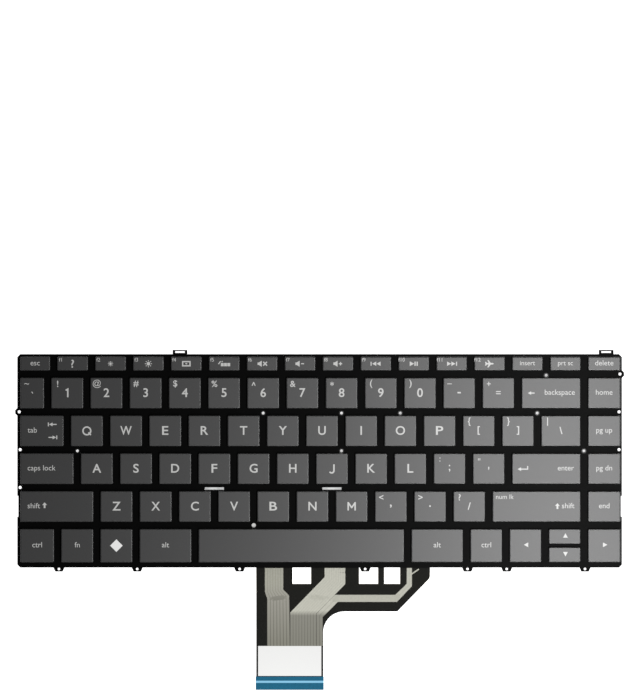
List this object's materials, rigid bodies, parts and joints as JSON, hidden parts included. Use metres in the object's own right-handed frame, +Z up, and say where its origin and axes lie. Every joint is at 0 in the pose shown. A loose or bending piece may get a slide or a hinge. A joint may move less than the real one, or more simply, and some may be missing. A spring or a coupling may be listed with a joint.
{
  "type": "laptop keyboard",
  "caption": "Flat backlit laptop keyboard module without a frame: low keys on a black plate, a wide connector tail at the front and a light strip on its back.",
  "frame": {"origin": "middle of the outline, on the surface that the back lies on", "axes": "+X along the rows to the right, +Y towards the function row, +Z up out of the keys"},
  "size_m": [0.2908, 0.1624, 0.004],
  "materials": {
    "keycap": "finely textured, matt",
    "plate": "black, satin",
    "boss": "bare",
    "membrane_film": "black printed film with grey tracks on its tail",
    "stiffener": "blue film",
    "label": "white, bare",
    "liner": "tan, waxed",
    "dome": "milky silicone",
    "link": "black",
    "wire": "bare wire",
    "light_guide": "clear sheet over a white reflector",
    "back_film": "black, matt",
    "flex": "orange film",
    "lamp": "yellowish lens",
    "cover_tape": "black, glossy",
    "hold_tape": "white"
  },
  "bodies": {
    "base": {"support_plate": "plate", "screw_bosses": "boss", "light_guide": "light_guide", "back_film": "back_film", "light_strip": "flex", "strip_lamps": "lamp", "cover_tape": "cover_tape", "hold_tape": "hold_tape", "membrane": "membrane_film", "tail_liner": "liner", "tail_stiffener": "stiffener", "tail_label": "label", "scissor_outer_links": "link", "scissor_inner_links": "link", "rubber_domes": "dome", "stabilizer_bars": "wire", "fixed_keys": "keycap"},
    "key_a": {"key_a": "keycap"},
    "key_b": {"key_b": "keycap"},
    "key_c": {"key_c": "keycap"},
    "key_d": {"key_d": "keycap"},
    "key_e": {"key_e": "keycap"},
    "key_f": {"key_f": "keycap"},
    "key_g": {"key_g": "keycap"},
    "key_h": {"key_h": "keycap"},
    "key_i": {"key_i": "keycap"},
    "key_j": {"key_j": "keycap"},
    "key_k": {"key_k": "keycap"},
    "key_l": {"key_l": "keycap"},
    "key_m": {"key_m": "keycap"},
    "key_n": {"key_n": "keycap"},
    "key_o": {"key_o": "keycap"},
    "key_p": {"key_p": "keycap"},
    "key_q": {"key_q": "keycap"},
    "key_r": {"key_r": "keycap"},
    "key_s": {"key_s": "keycap"},
    "key_t": {"key_t": "keycap"},
    "key_u": {"key_u": "keycap"},
    "key_v": {"key_v": "keycap"},
    "key_w": {"key_w": "keycap"},
    "key_x": {"key_x": "keycap"},
    "key_y": {"key_y": "keycap"},
    "key_z": {"key_z": "keycap"},
    "key_1": {"key_1": "keycap"},
    "key_2": {"key_2": "keycap"},
    "key_3": {"key_3": "keycap"},
    "key_4": {"key_4": "keycap"},
    "key_5": {"key_5": "keycap"},
    "key_6": {"key_6": "keycap"},
    "key_7": {"key_7": "keycap"},
    "key_8": {"key_8": "keycap"},
    "key_9": {"key_9": "keycap"},
    "key_0": {"key_0": "keycap"},
    "key_space": {"key_space": "keycap"},
    "key_enter": {"key_enter": "keycap"},
    "key_backspace": {"key_backspace": "keycap"},
    "key_arrow_left": {"key_arrow_left": "keycap"},
    "key_arrow_right": {"key_arrow_right": "keycap"},
    "key_arrow_up": {"key_arrow_up": "keycap"},
    "key_arrow_down": {"key_arrow_down": "keycap"}
  },
  "joints": [
    {"name": "press_a", "type": "slide", "parent": "base", "child": "key_a", "axis": [0, 0, -1], "range_m": [0, 0.0013], "stiffness_N_per_m": 350, "springref_m": -0.0006, "deforming": ["rubber_domes", "scissor_outer_links", "scissor_inner_links"]},
    {"name": "press_b", "type": "slide", "parent": "base", "child": "key_b", "axis": [0, 0, -1], "range_m": [0, 0.0013], "stiffness_N_per_m": 350, "springref_m": -0.0006, "deforming": ["rubber_domes", "scissor_outer_links", "scissor_inner_links"]},
    {"name": "press_c", "type": "slide", "parent": "base", "child": "key_c", "axis": [0, 0, -1], "range_m": [0, 0.0013], "stiffness_N_per_m": 350, "springref_m": -0.0006, "deforming": ["rubber_domes", "scissor_outer_links", "scissor_inner_links"]},
    {"name": "press_d", "type": "slide", "parent": "base", "child": "key_d", "axis": [0, 0, -1], "range_m": [0, 0.0013], "stiffness_N_per_m": 350, "springref_m": -0.0006, "deforming": ["rubber_domes", "scissor_outer_links", "scissor_inner_links"]},
    {"name": "press_e", "type": "slide", "parent": "base", "child": "key_e", "axis": [0, 0, -1], "range_m": [0, 0.0013], "stiffness_N_per_m": 350, "springref_m": -0.0006, "deforming": ["rubber_domes", "scissor_outer_links", "scissor_inner_links"]},
    {"name": "press_f", "type": "slide", "parent": "base", "child": "key_f", "axis": [0, 0, -1], "range_m": [0, 0.0013], "stiffness_N_per_m": 350, "springref_m": -0.0006, "deforming": ["rubber_domes", "scissor_outer_links", "scissor_inner_links"]},
    {"name": "press_g", "type": "slide", "parent": "base", "child": "key_g", "axis": [0, 0, -1], "range_m": [0, 0.0013], "stiffness_N_per_m": 350, "springref_m": -0.0006, "deforming": ["rubber_domes", "scissor_outer_links", "scissor_inner_links"]},
    {"name": "press_h", "type": "slide", "parent": "base", "child": "key_h", "axis": [0, 0, -1], "range_m": [0, 0.0013], "stiffness_N_per_m": 350, "springref_m": -0.0006, "deforming": ["rubber_domes", "scissor_outer_links", "scissor_inner_links"]},
    {"name": "press_i", "type": "slide", "parent": "base", "child": "key_i", "axis": [0, 0, -1], "range_m": [0, 0.0013], "stiffness_N_per_m": 350, "springref_m": -0.0006, "deforming": ["rubber_domes", "scissor_outer_links", "scissor_inner_links"]},
    {"name": "press_j", "type": "slide", "parent": "base", "child": "key_j", "axis": [0, 0, -1], "range_m": [0, 0.0013], "stiffness_N_per_m": 350, "springref_m": -0.0006, "deforming": ["rubber_domes", "scissor_outer_links", "scissor_inner_links"]},
    {"name": "press_k", "type": "slide", "parent": "base", "child": "key_k", "axis": [0, 0, -1], "range_m": [0, 0.0013], "stiffness_N_per_m": 350, "springref_m": -0.0006, "deforming": ["rubber_domes", "scissor_outer_links", "scissor_inner_links"]},
    {"name": "press_l", "type": "slide", "parent": "base", "child": "key_l", "axis": [0, 0, -1], "range_m": [0, 0.0013], "stiffness_N_per_m": 350, "springref_m": -0.0006, "deforming": ["rubber_domes", "scissor_outer_links", "scissor_inner_links"]},
    {"name": "press_m", "type": "slide", "parent": "base", "child": "key_m", "axis": [0, 0, -1], "range_m": [0, 0.0013], "stiffness_N_per_m": 350, "springref_m": -0.0006, "deforming": ["rubber_domes", "scissor_outer_links", "scissor_inner_links"]},
    {"name": "press_n", "type": "slide", "parent": "base", "child": "key_n", "axis": [0, 0, -1], "range_m": [0, 0.0013], "stiffness_N_per_m": 350, "springref_m": -0.0006, "deforming": ["rubber_domes", "scissor_outer_links", "scissor_inner_links"]},
    {"name": "press_o", "type": "slide", "parent": "base", "child": "key_o", "axis": [0, 0, -1], "range_m": [0, 0.0013], "stiffness_N_per_m": 350, "springref_m": -0.0006, "deforming": ["rubber_domes", "scissor_outer_links", "scissor_inner_links"]},
    {"name": "press_p", "type": "slide", "parent": "base", "child": "key_p", "axis": [0, 0, -1], "range_m": [0, 0.0013], "stiffness_N_per_m": 350, "springref_m": -0.0006, "deforming": ["rubber_domes", "scissor_outer_links", "scissor_inner_links"]},
    {"name": "press_q", "type": "slide", "parent": "base", "child": "key_q", "axis": [0, 0, -1], "range_m": [0, 0.0013], "stiffness_N_per_m": 350, "springref_m": -0.0006, "deforming": ["rubber_domes", "scissor_outer_links", "scissor_inner_links"]},
    {"name": "press_r", "type": "slide", "parent": "base", "child": "key_r", "axis": [0, 0, -1], "range_m": [0, 0.0013], "stiffness_N_per_m": 350, "springref_m": -0.0006, "deforming": ["rubber_domes", "scissor_outer_links", "scissor_inner_links"]},
    {"name": "press_s", "type": "slide", "parent": "base", "child": "key_s", "axis": [0, 0, -1], "range_m": [0, 0.0013], "stiffness_N_per_m": 350, "springref_m": -0.0006, "deforming": ["rubber_domes", "scissor_outer_links", "scissor_inner_links"]},
    {"name": "press_t", "type": "slide", "parent": "base", "child": "key_t", "axis": [0, 0, -1], "range_m": [0, 0.0013], "stiffness_N_per_m": 350, "springref_m": -0.0006, "deforming": ["rubber_domes", "scissor_outer_links", "scissor_inner_links"]},
    {"name": "press_u", "type": "slide", "parent": "base", "child": "key_u", "axis": [0, 0, -1], "range_m": [0, 0.0013], "stiffness_N_per_m": 350, "springref_m": -0.0006, "deforming": ["rubber_domes", "scissor_outer_links", "scissor_inner_links"]},
    {"name": "press_v", "type": "slide", "parent": "base", "child": "key_v", "axis": [0, 0, -1], "range_m": [0, 0.0013], "stiffness_N_per_m": 350, "springref_m": -0.0006, "deforming": ["rubber_domes", "scissor_outer_links", "scissor_inner_links"]},
    {"name": "press_w", "type": "slide", "parent": "base", "child": "key_w", "axis": [0, 0, -1], "range_m": [0, 0.0013], "stiffness_N_per_m": 350, "springref_m": -0.0006, "deforming": ["rubber_domes", "scissor_outer_links", "scissor_inner_links"]},
    {"name": "press_x", "type": "slide", "parent": "base", "child": "key_x", "axis": [0, 0, -1], "range_m": [0, 0.0013], "stiffness_N_per_m": 350, "springref_m": -0.0006, "deforming": ["rubber_domes", "scissor_outer_links", "scissor_inner_links"]},
    {"name": "press_y", "type": "slide", "parent": "base", "child": "key_y", "axis": [0, 0, -1], "range_m": [0, 0.0013], "stiffness_N_per_m": 350, "springref_m": -0.0006, "deforming": ["rubber_domes", "scissor_outer_links", "scissor_inner_links"]},
    {"name": "press_z", "type": "slide", "parent": "base", "child": "key_z", "axis": [0, 0, -1], "range_m": [0, 0.0013], "stiffness_N_per_m": 350, "springref_m": -0.0006, "deforming": ["rubber_domes", "scissor_outer_links", "scissor_inner_links"]},
    {"name": "press_1", "type": "slide", "parent": "base", "child": "key_1", "axis": [0, 0, -1], "range_m": [0, 0.0013], "stiffness_N_per_m": 350, "springref_m": -0.0006, "deforming": ["rubber_domes", "scissor_outer_links", "scissor_inner_links"]},
    {"name": "press_2", "type": "slide", "parent": "base", "child": "key_2", "axis": [0, 0, -1], "range_m": [0, 0.0013], "stiffness_N_per_m": 350, "springref_m": -0.0006, "deforming": ["rubber_domes", "scissor_outer_links", "scissor_inner_links"]},
    {"name": "press_3", "type": "slide", "parent": "base", "child": "key_3", "axis": [0, 0, -1], "range_m": [0, 0.0013], "stiffness_N_per_m": 350, "springref_m": -0.0006, "deforming": ["rubber_domes", "scissor_outer_links", "scissor_inner_links"]},
    {"name": "press_4", "type": "slide", "parent": "base", "child": "key_4", "axis": [0, 0, -1], "range_m": [0, 0.0013], "stiffness_N_per_m": 350, "springref_m": -0.0006, "deforming": ["rubber_domes", "scissor_outer_links", "scissor_inner_links"]},
    {"name": "press_5", "type": "slide", "parent": "base", "child": "key_5", "axis": [0, 0, -1], "range_m": [0, 0.0013], "stiffness_N_per_m": 350, "springref_m": -0.0006, "deforming": ["rubber_domes", "scissor_outer_links", "scissor_inner_links"]},
    {"name": "press_6", "type": "slide", "parent": "base", "child": "key_6", "axis": [0, 0, -1], "range_m": [0, 0.0013], "stiffness_N_per_m": 350, "springref_m": -0.0006, "deforming": ["rubber_domes", "scissor_outer_links", "scissor_inner_links"]},
    {"name": "press_7", "type": "slide", "parent": "base", "child": "key_7", "axis": [0, 0, -1], "range_m": [0, 0.0013], "stiffness_N_per_m": 350, "springref_m": -0.0006, "deforming": ["rubber_domes", "scissor_outer_links", "scissor_inner_links"]},
    {"name": "press_8", "type": "slide", "parent": "base", "child": "key_8", "axis": [0, 0, -1], "range_m": [0, 0.0013], "stiffness_N_per_m": 350, "springref_m": -0.0006, "deforming": ["rubber_domes", "scissor_outer_links", "scissor_inner_links"]},
    {"name": "press_9", "type": "slide", "parent": "base", "child": "key_9", "axis": [0, 0, -1], "range_m": [0, 0.0013], "stiffness_N_per_m": 350, "springref_m": -0.0006, "deforming": ["rubber_domes", "scissor_outer_links", "scissor_inner_links"]},
    {"name": "press_0", "type": "slide", "parent": "base", "child": "key_0", "axis": [0, 0, -1], "range_m": [0, 0.0013], "stiffness_N_per_m": 350, "springref_m": -0.0006, "deforming": ["rubber_domes", "scissor_outer_links", "scissor_inner_links"]},
    {"name": "press_space", "type": "slide", "parent": "base", "child": "key_space", "axis": [0, 0, -1], "range_m": [0, 0.0013], "stiffness_N_per_m": 350, "springref_m": -0.0006, "deforming": ["rubber_domes", "scissor_outer_links", "scissor_inner_links", "stabilizer_bars"]},
    {"name": "press_enter", "type": "slide", "parent": "base", "child": "key_enter", "axis": [0, 0, -1], "range_m": [0, 0.0013], "stiffness_N_per_m": 350, "springref_m": -0.0006, "deforming": ["rubber_domes", "scissor_outer_links", "scissor_inner_links", "stabilizer_bars"]},
    {"name": "press_backspace", "type": "slide", "parent": "base", "child": "key_backspace", "axis": [0, 0, -1], "range_m": [0, 0.0013], "stiffness_N_per_m": 350, "springref_m": -0.0006, "deforming": ["rubber_domes", "scissor_outer_links", "scissor_inner_links", "stabilizer_bars"]},
    {"name": "press_arrow_left", "type": "slide", "parent": "base", "child": "key_arrow_left", "axis": [0, 0, -1], "range_m": [0, 0.0013], "stiffness_N_per_m": 350, "springref_m": -0.0006, "deforming": ["rubber_domes", "scissor_outer_links", "scissor_inner_links"]},
    {"name": "press_arrow_right", "type": "slide", "parent": "base", "child": "key_arrow_right", "axis": [0, 0, -1], "range_m": [0, 0.0013], "stiffness_N_per_m": 350, "springref_m": -0.0006, "deforming": ["rubber_domes", "scissor_outer_links", "scissor_inner_links"]},
    {"name": "press_arrow_up", "type": "slide", "parent": "base", "child": "key_arrow_up", "axis": [0, 0, -1], "range_m": [0, 0.0013], "stiffness_N_per_m": 350, "springref_m": -0.0006, "deforming": ["rubber_domes", "scissor_outer_links", "scissor_inner_links"]},
    {"name": "press_arrow_down", "type": "slide", "parent": "base", "child": "key_arrow_down", "axis": [0, 0, -1], "range_m": [0, 0.0013], "stiffness_N_per_m": 350, "springref_m": -0.0006, "deforming": ["rubber_domes", "scissor_outer_links", "scissor_inner_links"]}
  ]
}
